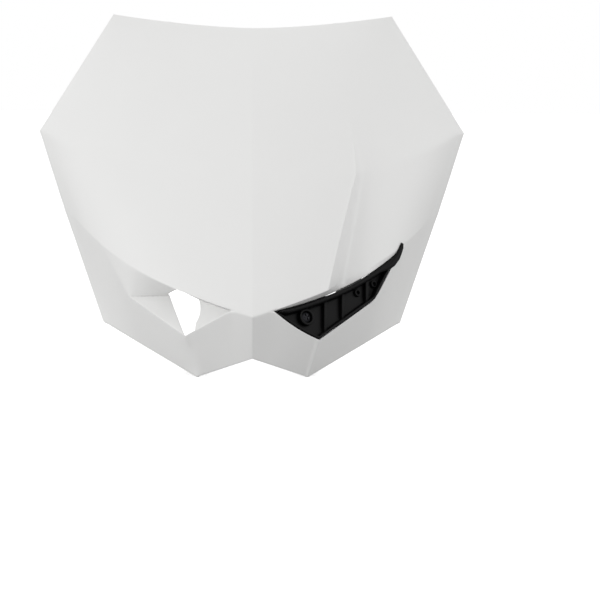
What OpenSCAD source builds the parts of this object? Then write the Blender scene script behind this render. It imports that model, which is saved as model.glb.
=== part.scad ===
// Headlight mask for an off-road motorcycle. A white moulded shell with two slanted eyes:
// the left eye is open with a scoop beside it, the right eye holds a black ribbed insert
// below an air channel. X runs across the bike, Z is up and the mask faces -Y, leaning
// back with the fork as it is worn. Lengths are in millimetres.

/* [Outline] */
// Half width at the side corners
side_x = 146; // [138:1:156]
// Height of the side corners above the chin points
side_z = 152; // [144:1:160]
// Half width at the top corners
top_x = 96; // [88:1:106]
// Height of the top corners
top_z = 232; // [222:1:245]
// How far the top edge dips at the centre line
top_dip = 9; // [2:1:16]
// Half width at the lower corners
corner_x = 98; // [92:1:106]
// Height of the lower corners
corner_z = 27.5; // [20:0.5:36]
// Half distance between the two chin points
chin_x = 35; // [30:1:42]
// Height of the notch between the chin points
notch_z = 13.5; // [8:0.5:20]
// How far the edge below the side corners bows outwards
edge_bow = 1; // [0:0.5:3]

/* [Form] */
// Angle that the back of the mask leans from upright
rake = 24; // [16:1:32]
// Height of the nose point between the eyes
nose_z = 40.5; // [36:0.5:46]
// How far the nose point stands ahead of the fork plane
nose_ahead = 97; // [88:1:108]
// How far the chin notch stands ahead of the fork plane
notch_ahead = 77; // [68:1:84]
// How far the chin points stand ahead of the fork plane
chin_ahead = 57; // [48:1:64]
// How far the lower corners stand ahead of the fork plane
corner_ahead = 8; // [4:1:14]
// How far the side corners stand ahead of the fork plane
side_ahead = 2; // [0:0.5:8]
// How far the top corners stand ahead of the fork plane
top_ahead = 22; // [16:1:30]
// How far the middle of the top edge stands ahead of the fork plane
crest_ahead = 36; // [30:1:46]
// How much the forehead bulges between the nose and the top edge
forehead_bulge = 7; // [3:0.5:12]
// How much the top edge rolls back
top_roll = 3; // [0:0.5:6]
// Share of the forehead's fall to the sides that is a straight slope
crown_slope = 0.25; // [0.15:0.05:0.4]
// Share of that fall that comes as a tuck at the edge
crown_tuck = 0.08; // [0:0.02:0.14]
// Thickness of the moulded wall
wall = 2.5; // [2:0.1:3.2]

/* [Eyes] */
// Half distance between the inner ends of the eyes
eye_inner_x = 13; // [11:0.5:16]
// Half distance between the outer tips of the eyes
eye_tip_x = 99; // [95:0.5:103]
// Rise of the brow from the nose to the outer tip along a straight line
brow_rise = 28.7; // [25:0.1:32]
// Extra upward hook of the brow at the outer tip
brow_hook = 11; // [7:0.5:14]
// Height at which the brow line runs out into the side edge
brow_end_z = 97; // [92:1:102]
// Half distance between the lowest corners of the eyes
eye_low_x = 42; // [39:0.5:46]
// Height of the lowest corners of the eyes
eye_low_z = 27; // [25:0.5:30]
// How far the lowest corners of the eyes stand ahead of the fork plane
eye_low_ahead = 75; // [72:0.5:78]
// Half distance between the outer lid corners
lid_x = 79; // [76:0.5:82]
// Height of the outer lid corners
lid_z = 48; // [45:0.5:51]
// How far the outer lid corners stand ahead of the fork plane
lid_ahead = 50; // [47:0.5:53]
// How much lower the lowest corner of the right eye lies than that of the left eye
low_drop = 2.2; // [0:0.1:3]
// How much lower the outer lid corner of the right eye lies than that of the left eye
lid_drop = 1.3; // [0:0.1:2]
// How far the edge of the right eye bows down between its inner end and its lowest corner
lid_bow = 1.6; // [0:0.1:2.4]

/* [Scoop] */
// How far the scoop lies behind the brow at the edge of the open eye
scoop_depth = 20; // [14:1:24]
// Half distance from the centre line to the fold in the scoop floor, at the open eye
floor_x = 52.5; // [50:0.5:55]
// Height of the fold in the scoop floor
floor_z = 49; // [46:0.5:51]
// How far the fold in the scoop floor stands ahead of the fork plane
floor_ahead = 57; // [54:1:62]
// How far the foot of the wall under the brow drops, as a share of the scoop's depth
scoop_drop = 0.22; // [0.14:0.02:0.28]
// How far that foot leans outwards, as a share of the scoop's depth
scoop_lean = 0.3; // [0.2:0.02:0.36]

/* [Air channel] */
// Depth of the channel at the brow
channel_depth = 16; // [8:1:18]
// Distance from the centre line to the crease of the channel, at the brow
channel_x = 47.3; // [45:0.5:50]
// Share of the forehead's height that the channel runs up
channel_run = 0.58; // [0.4:0.02:0.7]
// Width of the channel's step at the brow
step_w = 9; // [6:0.5:12]
// Width of the channel's step where it runs out
step_end_w = 1.8; // [1.2:0.2:3]
// How far the crease leans outwards, as a share of the forehead's width at the top
crease_lean = 0.21; // [0.15:0.01:0.27]

/* [Eye insert] */
// Gap between the insert and the eye opening
insert_gap = 0.5; // [0.3:0.1:1]
// How far the upper edge of the insert's opening sags below the line between its ends
top_sag = 7.4; // [6.4:0.1:8.4]
// Depth of the insert from its rim to its back
insert_depth = 7; // [6:0.5:8]
// Thickness of the insert's walls and floor
insert_wall = 1.8; // [1.4:0.1:2.4]
// How far the insert's upper lip stands out of the eye
lip_proud = 1.6; // [1:0.1:2.4]
// Depth of the return flange that the insert sits in
flange_depth = 11; // [10:0.5:13]
// Height of the insert's ribs above its floor
rib_h = 2.6; // [1.5:0.1:3.6]
// Thickness of the insert's ribs
insert_rib_w = 2; // [1.4:0.1:2.6]
// Gap between the back of the insert and its seats
seat_gap = 0.3; // [0.2:0.1:0.6]
// Width of the upper lip
lip_w = 3.2; // [2.4:0.1:4]
// How far short of the ends of the eye the tray of the insert stops
insert_blunt = 5.2; // [5:0.1:6.4]
// How far short of the ends of the eye the upper lip stops
lip_blunt = 2.6; // [2.4:0.1:4]
// Width of the frames moulded between the ribs
bay_w = 1; // [0.8:0.1:1.5]
// Height of the frames moulded between the ribs
bay_h = 1.4; // [0.8:0.1:2]
// Distance of the snap leg from the centre line
leg_x = 66; // [64:0.5:68]
// Width of the snap leg
leg_w = 8; // [6:0.5:10]
// Thickness of the snap leg
leg_t = 2; // [1.4:0.1:2.4]
// How far the barb of the snap leg stands out
barb_out = 0.8; // [0.5:0.1:1.2]
// Height of the barb of the snap leg
barb_h = 1.4; // [1:0.1:2]

/* [Screw] */
// Distance of the insert's screw from the centre line
screw_x = 35.5; // [34:0.5:37]
// Diameter of the screw
screw_d = 3.5; // [3:0.1:4]
// Diameter of the screw's head
screw_head_d = 7; // [6:0.5:8]
// Height of the screw's head
screw_head_h = 2.2; // [1.8:0.1:2.8]
// Length of the screw under its head
screw_len = 11; // [9:0.5:12]
// Clearance of the screw in its pillar, on the diameter
screw_clearance = 0.2; // [0.1:0.1:0.4]
// Diameter of the pillar that the screw bites into
pillar_d = 8; // [7:0.5:9]
// Length of the pillar
pillar_len = 10; // [8:0.5:12]

/* [Back] */
// Diameter of the lower locating pegs
peg_d = 10; // [8:0.5:12]
// Length of the locating pegs behind their flange
peg_len = 16; // [12:1:20]
// Diameter of the flange on each locating peg
peg_flange_d = 16; // [14:0.5:20]
// Thickness of the flange on each locating peg
peg_flange_t = 3; // [2:0.5:4]
// How far the peg flanges stand ahead of the fork plane
peg_flange_ahead = 30; // [24:1:36]
// Length of the locating pegs ahead of their flange, where the ribs carry them
peg_root = 22; // [16:1:26]
// Width of the strap slots
slot_w = 9; // [7:0.5:11]
// How far the plates with the strap slots stand ahead of the fork plane
slot_ahead = 8; // [5:0.5:12]
// Thickness of the plates that hold the straps
plate_t = 3; // [2.4:0.2:4]
// How far the strap hooks stand ahead of the fork plane
hook_ahead = 16; // [13:0.5:20]
// How far the strap hooks reach towards the centre line
hook_reach = 10; // [8:0.5:12]
// Height of the lips at the ends of the strap hooks
hook_lip = 4; // [2:0.5:5]
// Thickness of the ribs on the back
rib_w = 2.4; // [2:0.1:3]
// How far the web behind the open eye reaches from the centre line
web_x = 42; // [40:0.5:44]
// Gap between that web and the lower edge of the eye
web_lid_gap = 3.5; // [2.5:0.5:5]
// Distance of the round lamp opening in the web from the centre line
lamp_x = 49.5; // [48:0.5:51]
// Height of the round lamp opening in the web
lamp_z = 43; // [41:0.5:45]
// Radius of the round lamp opening in the web
lamp_r = 14.5; // [13:0.5:16]

/* [Hidden] */
$fn = 48;

// How deep ribs and seats run into the wall, how far joined forms overlap and how far cuts run past a face
bite = 0.6 * wall;
join = 0.2;
past = 1;

function mix(a, b, s) = a + (b - a) * s;
function clamp01(s) = max(0, min(1, s));
function unit(v) = norm(v) < 1e-9 ? [0, 0, 0] : v / norm(v);
function sum(v, i = 0) = i == len(v) ? [0, 0, 0] : v[i] + sum(v, i + 1);

// The whole mask is shifted so that its origin lies midway between its front and its back
nose_y = nose_z * tan(rake) - nose_ahead;
top_y = top_z * tan(rake) - top_ahead;
y_mid = (nose_y + top_y) / 2;
function place(p) = [p[0], p[1] * tan(rake) - p[2] - y_mid, p[1]];

// Columns are counted outwards from the centre line and rows upwards from the chin
K_INNER = 3;
K_WEB = 9;
K_CREASE = 10;
K_FOOT = 11;
K_LID = 17;
K_TIP = 21;
K_EDGE = 26;
R_PEG = 3;
R_LID = 6;
R_BROW = 11;
R_SIDE = 19;
R_TOP = 31;
COLS = 2 * K_EDGE;
K_HOOK = 9;
R_HOOK = 21;
HOOK_COLS = 2;
K_SLOT = 19;
R_SLOT = 17;
SLOT_COLS = 4;
SLOT_ROWS = 3;
PEG_COLS = 3;

// Side edge of the outline from the lower corner past the side corner to the top corner
function edge_low_x(z) = mix(corner_x, side_x, (z - corner_z) / (side_z - corner_z))
    + edge_bow * sin(180 * clamp01((z - corner_z) / (side_z - corner_z)));
function edge_x(z) = z < side_z ? edge_low_x(z) : mix(side_x, top_x, (z - side_z) / (top_z - side_z));
function edge_ahead(z) = z < side_z ? mix(corner_ahead, side_ahead, (z - corner_z) / (side_z - corner_z))
    : mix(side_ahead, top_ahead, (z - side_z) / (top_z - side_z));

// Brow line: a straight rise with a hook at its outer end
hook_power = 3.5;
brow_end_x = edge_x(brow_end_z);
function brow_z(x) = nose_z + brow_rise * x / eye_tip_x
    + min(brow_hook * pow(x / eye_tip_x, hook_power), brow_end_z - nose_z - brow_rise * x / eye_tip_x);

// Forehead: sections from the centre line to the edge, s across and v up
crown_power = 2.2;
tuck_power = 12;
roll_power = 14;
dip_power = 1.65;
function crown(s) = crown_slope * s + (1 - crown_slope - crown_tuck) * pow(s, crown_power)
    + crown_tuck * pow(s, tuck_power);
function centre_ahead(v) = mix(nose_ahead, crest_ahead, v) + forehead_bulge * 4 * v * (1 - v)
    - top_roll * pow(v, roll_power);
function fore_edge_z(v) = mix(brow_end_z, top_z, v);
v_side = (side_z - brow_end_z) / (top_z - brow_end_z);
function row_v(r) = r <= R_SIDE ? v_side * (r - R_BROW) / (R_SIDE - R_BROW)
    : mix(v_side, 1, (r - R_SIDE) / (R_TOP - R_SIDE));
s_crease = channel_x / brow_end_x;
function crease_s(v) = s_crease + crease_lean * v;
function foot_s(v) = crease_s(v) + mix(step_end_w, step_w, clamp01(1 - v / channel_run)) / brow_end_x;

// Shares of the width at which the columns of the eye's ends and of its lid corner meet the top edge
inner_top_s = 0.2;
lid_top_s = 0.76;
tip_top_s = 0.88;
function row_s(k, v) = lookup(k, [
    [0, 0],
    [K_INNER, mix(eye_inner_x / brow_end_x, inner_top_s, v)],
    [K_CREASE, crease_s(v)],
    [K_FOOT, foot_s(v)],
    [K_LID, mix(lid_x / brow_end_x, lid_top_s, v)],
    [K_TIP, mix(eye_tip_x / brow_end_x, tip_top_s, v)],
    [K_EDGE, 1]]);

// How far the air channel sinks the right half of the forehead
run_power = 1.3;
fade_power = 2;
function channel(s, v) = s <= crease_s(v) + 1e-6 ? 0
    : channel_depth * pow(clamp01(1 - v / channel_run), run_power)
    * pow(1 - max(0, s - foot_s(v)) / (1 - foot_s(v)), fade_power);

function fore(side, s, v) =
    let (
        ez = fore_edge_z(v),
        x = s * edge_x(ez),
        low = brow_z(s * brow_end_x),
        high = top_z - top_dip * (1 - pow(s, dip_power)),
        ahead = mix(centre_ahead(v), edge_ahead(ez), crown(s)),
        sink = side > 0 ? channel(s, v) : 0)
    [side * x, mix(low, high, v), ahead - sink];

// Lower line of the eye from the nose to the edge, which the brow shares at both ends
function lid(side, k) =
    k <= K_INNER || k >= K_TIP ? fore(side, row_s(k, 0), 0)
    : let (
        inner = fore(1, row_s(K_INNER, 0), 0),
        tip = fore(side, row_s(K_TIP, 0), 0),
        drop = side < 0 ? 0 : lookup(k, [[K_INNER, 0], [K_CREASE, low_drop], [K_LID, lid_drop], [K_TIP, 0]])
            + lid_bow * sin(180 * clamp01((k - K_INNER) / (K_CREASE - K_INNER))),
        x = lookup(k, [[K_INNER, inner[0]], [K_CREASE, eye_low_x], [K_LID, lid_x], [K_TIP, eye_tip_x]]),
        z = lookup(k, [[K_INNER, inner[1]], [K_CREASE, eye_low_z], [K_LID, lid_z], [K_TIP, tip[1]]]),
        a = lookup(k, [[K_INNER, inner[2]], [K_CREASE, eye_low_ahead], [K_LID, lid_ahead], [K_TIP, tip[2]]]))
    [side * x, z - drop, a];

// Lower edge of the chin, with the shares of its outer part at which the columns meet it
chin_shares = [[K_CREASE, 0], [K_FOOT, 0.08], [K_LID, 0.6], [K_TIP, 0.82], [K_EDGE, 1]];
function chin_edge(side, k) =
    let (s = lookup(k, chin_shares))
    k <= K_CREASE ? [side * chin_x * k / K_CREASE, mix(notch_z, 0, k / K_CREASE),
        mix(notch_ahead, chin_ahead, k / K_CREASE)]
    : [side * mix(chin_x, corner_x, s), mix(0, corner_z, s), mix(chin_ahead, corner_ahead, s)];

// Left scoop: the wall behind the brow ends on its floor, which folds up to the lid
function scoop_in(k) = (K_TIP - k) / (K_TIP - K_CREASE);
function scoop_foot(k) =
    let (b = fore(-1, row_s(k, 0), 0), h = scoop_depth * scoop_in(k))
    [b[0] - scoop_lean * h, b[1] - scoop_drop * h, b[2] - h];
function scoop_floor(k) =
    let (l = lid(-1, k), s = clamp01((k - K_CREASE) / (K_LID - K_CREASE)))
    k >= K_LID ? l : [-mix(floor_x, lid_x, s), mix(floor_z, lid_z, s), mix(floor_ahead, lid_ahead, s)];

// Plane of the right eye, through its inner end, its outer tip and its lowest corner
eye_a = place(lid(1, K_INNER));
eye_b = place(lid(1, K_TIP));
eye_c = place(lid(1, K_CREASE));
eye_ex = unit(eye_b - eye_a);
eye_n = unit(cross(eye_c - eye_a, eye_b - eye_a));
eye_ey = cross(eye_n, eye_ex);
function flat_eye(p) = [(p - eye_a) * eye_ex, (p - eye_a) * eye_ey];
function behind_eye(p, depth) = p - eye_n * ((p - eye_a) * eye_n + depth);

// Upper edge of the insert's opening: a sagging line below the brow, level with the eye's plane
// or, where the air channel lies deeper, with the brow
sag_skew = 1.1;
sag_power = 0.7;
function top_line(across) =
    -top_sag * pow(sin(180 * pow(clamp01(across / norm(eye_b - eye_a)), sag_skew)), sag_power);
function opening_top(b, depth) = behind_eye(b, depth) + eye_ey * (top_line(flat_eye(b)[0]) - flat_eye(b)[1]);

function shares_brow(k) = k <= K_INNER || k >= K_TIP;
function mirror_x(p) = [-p[0], p[1], p[2]];

function eye_point(side, k, r) =
    let (b = place(fore(side, row_s(k, 0), 0)), l = place(lid(side, k)))
    shares_brow(k) ? b
    : side > 0 ? (r == R_LID ? l : r == R_LID + 1 ? behind_eye(l, flange_depth)
        : opening_top(b, r < R_BROW - 1 ? flange_depth : max(0, (eye_a - b) * eye_n)))
    : k <= K_WEB && r == R_BROW - 1 ? mirror_x(behind_eye(mirror_x(b), flange_depth))
    : let (floor = place(scoop_floor(k)), foot = place(scoop_foot(k)))
    r <= R_LID + 2 ? mix(l, floor, (r - R_LID) / 2)
    : mix(floor, foot, (r - R_LID - 2) / 2);

function sheet_point(c, r) =
    let (k = abs(c - K_EDGE), side = c < K_EDGE ? -1 : 1)
    r >= R_BROW ? place(fore(side, row_s(k, row_v(r)), row_v(r)))
    : r >= R_LID ? eye_point(side, k, r)
    : mix(place(chin_edge(side, k)), place(lid(side, k)), r / R_LID);

// Rows that meet in one point at a column are listed as the lowest and the highest of them
function merged(c, r) =
    let (k = abs(c - K_EDGE))
    r < R_LID || r > R_BROW ? [r, r]
    : shares_brow(k) ? [R_LID, R_BROW]
    : c < K_EDGE && k >= K_LID && r <= R_LID + 2 ? [R_LID, R_LID + 2]
    : [r, r];

// Cells of the sheet that are open: the left eye, and the right eye inside its flange
function open_cell(c, r) =
    let (k = max(abs(c - K_EDGE), abs(c + 1 - K_EDGE)), left = c < K_EDGE)
    c < 0 || c >= COLS || r < 0 || r >= R_TOP
    || (left && k > K_INNER && k <= K_CREASE && r >= R_LID && r < (k <= K_WEB ? R_BROW - 1 : R_BROW))
    || (!left && k > K_INNER && k <= K_TIP && r > R_LID && r < R_BROW - 2);

// Front points of the sheet and the points of its back, one wall thickness behind them
fold_limit = 0.6;
front_grid = [for (c = [0:COLS]) [for (r = [0:R_TOP]) sheet_point(c, r)]];
function cell_normal(c, r) =
    unit(cross(front_grid[c + 1][r + 1] - front_grid[c][r], front_grid[c][r + 1] - front_grid[c + 1][r]));
function unused(c, r) = r > R_LID && r < R_BROW && open_cell(c, r) && open_cell(c - 1, r)
    && open_cell(c, r - 1) && open_cell(c - 1, r - 1);
function back_point(c, r) =
    let (
        m = merged(c, r),
        near = [for (cc = [c - 1, c]) for (rr = [m[0] - 1:m[1]])
            if (!open_cell(cc, rr)) let (n = cell_normal(cc, rr)) if (norm(n) > 0.5) n],
        n = unit(sum(near)),
        fit = max(fold_limit, min([for (f = near) f * n])))
    front_grid[c][r] - n * wall / fit;
back_grid = [for (c = [0:COLS]) [for (r = [0:R_TOP]) unused(c, r) ? front_grid[c][r] : back_point(c, r)]];

module mask_sheet() {
    rows = R_TOP + 1;
    count = (COLS + 1) * rows;
    function id(c, r) = c * rows + merged(c, r)[1];
    function proper(f) = f[0] != f[1] && f[1] != f[2] && f[2] != f[0];
    cells = [for (c = [0:COLS - 1]) for (r = [0:R_TOP - 1]) if (!open_cell(c, r))
        let (a = id(c, r), b = id(c + 1, r), d = id(c + 1, r + 1), e = id(c, r + 1))
        each (c < K_EDGE ? [[a, e, b], [b, e, d]] : [[a, d, b], [a, e, d]])];
    front = [for (f = cells) if (proper(f)) f];
    back = [for (f = front) [f[0] + count, f[2] + count, f[1] + count]];
    rim = concat(
        [for (c = [0:COLS]) id(c, R_TOP)],
        [for (r = [R_TOP - 1:-1:0]) id(COLS, r)],
        [for (c = [COLS - 1:-1:0]) id(c, 0)],
        [for (r = [1:R_TOP - 1]) id(0, r)]);
    left_hole = concat(
        [for (c = [K_EDGE - K_CREASE:K_EDGE - K_INNER]) id(c, R_LID)],
        [for (c = [K_EDGE - K_INNER - 1:-1:K_EDGE - K_WEB]) id(c, R_BROW - 1)],
        [for (c = [K_EDGE - K_WEB:-1:K_EDGE - K_CREASE]) id(c, R_BROW)],
        [for (r = [R_BROW - 1:-1:R_LID + 1]) id(K_EDGE - K_CREASE, r)]);
    right_hole = concat(
        [for (c = [K_EDGE + K_INNER:K_EDGE + K_TIP]) id(c, R_LID + 1)],
        [for (c = [K_EDGE + K_TIP - 1:-1:K_EDGE + K_INNER + 1]) id(c, R_BROW - 2)]);
    function edges(loop) = [for (i = [0:len(loop) - 1])
        let (u = loop[i], v = loop[(i + 1) % len(loop)])
        if (u != v) each [[v, u, u + count], [v, u + count, v + count]]];
    walls = concat(edges(rim), edges(left_hole), edges(right_hole));
    polyhedron(points = concat([for (col = front_grid) each col], [for (col = back_grid) each col]),
        faces = concat(front, back, walls), convexity = 8);
}

// Planes on which ribs end: one a given distance ahead of the fork, and an upright one,
// each as its y at the height of the chin points and its slope
function fork_stop(ahead) = [-ahead - y_mid, tan(rake)];
function upright_stop(y) = [y, 0];

// Rib that stands on the back of the sheet along a run of its points and ends at such a plane;
// across is half its thickness as a vector
module sheet_rib(cells, stop, across) {
    mid = [for (q = cells) (front_grid[q[0]][q[1]] + back_grid[q[0]][q[1]]) / 2];
    end = [for (m = mid) [m[0], stop[0] + stop[1] * m[2], m[2]]];
    n = len(cells);
    points = concat([for (m = mid) m - across], [for (m = mid) m + across],
        [for (e = end) e - across], [for (e = end) e + across]);
    sides = [for (i = [0:n - 2]) each [
        [i, i + 1, n + i + 1, n + i],
        [2 * n + i, 3 * n + i, 3 * n + i + 1, 2 * n + i + 1],
        [i, 2 * n + i, 2 * n + i + 1, i + 1],
        [n + i, n + i + 1, 3 * n + i + 1, 3 * n + i]]];
    ends = [[0, n, 3 * n, 2 * n], [n - 1, 3 * n - 1, 4 * n - 1, 2 * n - 1]];
    flipped = cross(mid[1] - mid[0], across) * (end[0] - mid[0]) > 0;
    polyhedron(points = points, faces = [for (f = concat(sides, ends)) each
        let (g = flipped ? f : [f[3], f[2], f[1], f[0]]) [[g[0], g[1], g[2]], [g[0], g[2], g[3]]]]);
}

// Outline of an eye in the eye's plane, the upper edge first, then the lid back to the inner
// end; the left eye's is mirrored and runs along its brow
function eye_outline(side) = concat(
    [for (k = [K_INNER:K_TIP])
        let (f = flat_eye(place(fore(1, row_s(k, 0), 0))))
        side > 0 ? [f[0], top_line(f[0])] : f],
    [for (k = [K_LID, each [K_CREASE:-1:K_INNER + 1]])
        let (l = lid(side, k))
        flat_eye(place([abs(l[0]), l[1], l[2]]))]);

module eye_shape(in, side = 1) {
    offset(delta = -in)
        polygon(eye_outline(side));
}

// Point of the eye's plane that lies at a given x and z
function eye_at(x, z) =
    let (dx = x - eye_a[0], dz = z - eye_a[2], det = eye_ex[0] * eye_ey[2] - eye_ex[2] * eye_ey[0])
    [(dx * eye_ey[2] - dz * eye_ey[0]) / det, (eye_ex[0] * dz - eye_ex[2] * dx) / det];
function eye_band(x0, x1) = [eye_at(x0, 0), eye_at(x1, 0), eye_at(x1, top_z), eye_at(x0, top_z)];

module on_eye() {
    multmatrix([
        [eye_ex[0], eye_ey[0], eye_n[0], eye_a[0]],
        [eye_ex[1], eye_ey[1], eye_n[1], eye_a[1]],
        [eye_ex[2], eye_ey[2], eye_n[2], eye_a[2]],
        [0, 0, 0, 1]])
        children();
}

// Layer of the eye's plane between two depths, in the part of the outline between two x values
module eye_layer(x0, x1, in, low, high, side = 1) {
    translate([0, 0, low])
        linear_extrude(high - low)
            intersection() {
                eye_shape(in, side);
                polygon(eye_band(x0, x1));
            }
}

// Point of the eye's plane at a given x, and at a share of the way from its lid to its brow
lid_corners = [for (k = [K_INNER, K_CREASE, K_LID, K_TIP]) let (l = lid(1, k)) [l[0], l[1]]];
function eye_middle(x, share) = eye_at(x, mix(lookup(x, lid_corners), brow_z(x), share));
screw_spot = eye_middle(screw_x, 0.5);
leg_spot = eye_middle(leg_x, 0.45);
seat_top = -insert_depth - seat_gap;

module insert_seat(x0, x1) {
    eye_layer(x0, x1, -bite, seat_top - rib_w, seat_top);
}

// Seat with a pillar for the screw, at the inner end of the eye
module screw_seat() {
    on_eye()
        difference() {
            union() {
                insert_seat(eye_inner_x + insert_blunt, screw_x + pillar_d / 2);
                translate([screw_spot[0], screw_spot[1], seat_top - pillar_len])
                    cylinder(d = pillar_d, h = pillar_len - join);
            }
            translate([screw_spot[0], screw_spot[1], seat_top - pillar_len - past])
                cylinder(d = screw_d + screw_clearance, h = pillar_len + 2 * past);
        }
}

// Seat with a window for the snap leg, at the outer end of the eye
module leg_seat() {
    window = [leg_t + barb_out + 2 * insert_gap, leg_w + 2 * insert_gap];
    on_eye()
        difference() {
            insert_seat(leg_x - leg_w, leg_x + leg_w);
            translate([leg_spot[0] - leg_t / 2 - insert_gap, leg_spot[1] - window[1] / 2,
                seat_top - rib_w - past])
                cube([window[0], window[1], rib_w + 2 * past]);
        }
}

// Web behind the inner end of the open eye, with part of a round lamp opening cut out of it
module eye_web() {
    lamp = eye_at(lamp_x, lamp_z);
    low = join - flange_depth;
    mirror([1, 0, 0])
        on_eye()
            difference() {
                intersection() {
                    eye_layer(0, web_x, -bite, low, low + rib_w, -1);
                    translate([0, web_lid_gap + bite, low - past])
                        linear_extrude(rib_w + 2 * past)
                            eye_shape(-bite, -1);
                }
                translate([lamp[0], lamp[1], low - past])
                    cylinder(r = lamp_r, h = rib_w + 2 * past);
            }
}

// Local axes on the fork plane: X across, Y rearwards out of the plane, Z up along it
module on_fork(x, z, ahead) {
    translate(place([x, z, ahead]))
        rotate([-rake, 0, 0])
            children();
}

// Peg that locates the mask in a rubber grommet, on two crossed ribs behind the chin that
// end inside its flange
module locating_peg(side) {
    c = K_EDGE + side * K_CREASE;
    at = place([side * (chin_x + eye_low_x) / 2, eye_low_z / 2, peg_flange_ahead]);
    stop = upright_stop(at[1] - peg_flange_t / 2);
    sheet_rib([for (r = [0:R_LID - 1]) [c, r]], stop, [rib_w / 2, 0, 0]);
    sheet_rib([for (i = [-PEG_COLS:PEG_COLS]) [c + i, R_PEG]], stop, [0, 0, rib_w / 2]);
    translate(at)
        rotate([-90, 0, 0])
            union() {
                translate([0, 0, -peg_flange_t])
                    cylinder(d = peg_flange_d, h = peg_flange_t);
                translate([0, 0, -peg_root])
                    cylinder(d = peg_d, h = peg_root + peg_len);
            }
}

module on_side(side) {
    if (side < 0)
        mirror([1, 0, 0])
            children();
    else
        children();
}

// Hook for the closed loop of a strap: two ribs carry a plate whose lip points to the centre
module strap_hook(side) {
    c = K_EDGE + side * K_HOOK;
    for (r = [R_HOOK, R_HOOK + 1])
        sheet_rib([for (i = [0:HOOK_COLS]) [c + side * i, r]], fork_stop(hook_ahead), [0, 0, rib_w / 2]);
    low = front_grid[c][R_HOOK];
    high = front_grid[c + side * HOOK_COLS][R_HOOK + 1];
    width = abs(high[0]) - abs(low[0]) + hook_reach;
    z_run = (high[2] - low[2] + 2 * rib_w) / cos(rake);
    on_side(side)
        on_fork(abs(low[0]) - hook_reach, low[2] - rib_w, hook_ahead + join)
            union() {
                cube([width, plate_t, z_run]);
                translate([0, -hook_lip, 0])
                    cube([plate_t, hook_lip + join, z_run]);
            }
}

// Bracket for the spool of a strap: two ribs carry a plate with a slot open to the side
module strap_bracket(side) {
    c = K_EDGE + side * K_SLOT;
    for (r = [R_SLOT, R_SLOT + SLOT_ROWS])
        sheet_rib([for (i = [0:SLOT_COLS]) [c + side * i, r]], fork_stop(slot_ahead), [0, 0, rib_w / 2]);
    low = front_grid[c][R_SLOT];
    high = front_grid[c + side * SLOT_COLS][R_SLOT + SLOT_ROWS];
    width = abs(high[0]) - abs(low[0]);
    z_run = (high[2] - low[2] + 2 * rib_w) / cos(rake);
    on_side(side)
        on_fork(abs(low[0]), low[2] - rib_w, slot_ahead + join)
            difference() {
                cube([width, plate_t, z_run]);
                translate([width / 2, -past, z_run / 2])
                    union() {
                        rotate([-90, 0, 0])
                            cylinder(d = slot_w, h = plate_t + 2 * past);
                        translate([0, 0, -slot_w / 2])
                            cube([width, plate_t + 2 * past, slot_w]);
                    }
            }
}

module mask_shell() {
    color("white")
        union() {
            mask_sheet();
            screw_seat();
            leg_seat();
            eye_web();
            for (side = [-1, 1]) {
                locating_peg(side);
                strap_hook(side);
                strap_bracket(side);
            }
        }
}

// Snap leg of the insert, whose barb catches behind its seat
module snap_leg() {
    leg_len = rib_w + 2 * seat_gap + barb_h;
    translate([leg_spot[0] - leg_t / 2, leg_spot[1] - leg_w / 2, -insert_depth - leg_len])
        union() {
            cube([leg_t, leg_w, leg_len + join]);
            cube([leg_t + barb_out, leg_w, barb_h]);
        }
}

// Frame moulded on the floor of the insert between two ribs
bay_gap = 0.5;
bay_inset = 3.4;
module insert_bay(rib) {
    x0 = rib_x[rib] + insert_rib_w / 2 + bay_gap;
    x1 = rib_x[rib + 1] - insert_rib_w / 2 - bay_gap;
    difference() {
        eye_layer(x0, x1, insert_gap + bay_inset, floor_top - join, floor_top + bay_h);
        eye_layer(x0 + bay_w, x1 - bay_w, insert_gap + bay_inset + bay_w, floor_top - 2 * join, 0);
    }
}

module insert_ring(at, outer_r, bore_r, h) {
    translate([at[0], at[1], floor_top - join])
        difference() {
            cylinder(r = outer_r, h = h + join);
            translate([0, 0, -past])
                cylinder(r = bore_r, h = h + 2 * past);
        }
}

// Ribbed black cover that fills the right eye: a tray with a raised upper lip
floor_top = insert_wall - insert_depth;
rib_x = [47.5, 59, 75];
ring_spots = [[69.5, 0.5], [80.5, 0.4]];
ring_r = 2.4;
ring_h = 1.6;
head_gap = 0.3;
head_ring_wall = 1.5;
head_ring_rise = 0.6;
module eye_insert() {
    x0 = eye_inner_x + insert_blunt;
    x1 = eye_tip_x - insert_blunt;
    color("#1d1d1f")
        on_eye()
            difference() {
                union() {
                    difference() {
                        eye_layer(x0, x1, insert_gap, -insert_depth, 0);
                        eye_layer(x0 + insert_wall, x1, insert_gap + insert_wall, floor_top, past);
                    }
                    difference() {
                        eye_layer(eye_inner_x + lip_blunt, eye_tip_x - lip_blunt, insert_gap,
                            -lip_w, lip_proud);
                        translate([0, -lip_w, 0])
                            eye_layer(0, brow_end_x, insert_gap, -lip_w - past, lip_proud + past);
                    }
                    for (x = rib_x)
                        eye_layer(x - insert_rib_w / 2, x + insert_rib_w / 2, insert_gap + insert_wall / 2,
                            floor_top - join, floor_top + rib_h);
                    for (rib = [0, 1])
                        insert_bay(rib);
                    insert_ring(screw_spot, screw_head_d / 2 + head_gap + head_ring_wall,
                        screw_head_d / 2 + head_gap, screw_head_h + head_ring_rise);
                    for (spot = ring_spots)
                        insert_ring(eye_middle(spot[0], spot[1]), ring_r, ring_r / 2, ring_h);
                    snap_leg();
                }
                translate([screw_spot[0], screw_spot[1], -insert_depth - past])
                    cylinder(d = screw_d + 2 * screw_clearance, h = insert_depth);
            }
}

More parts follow.
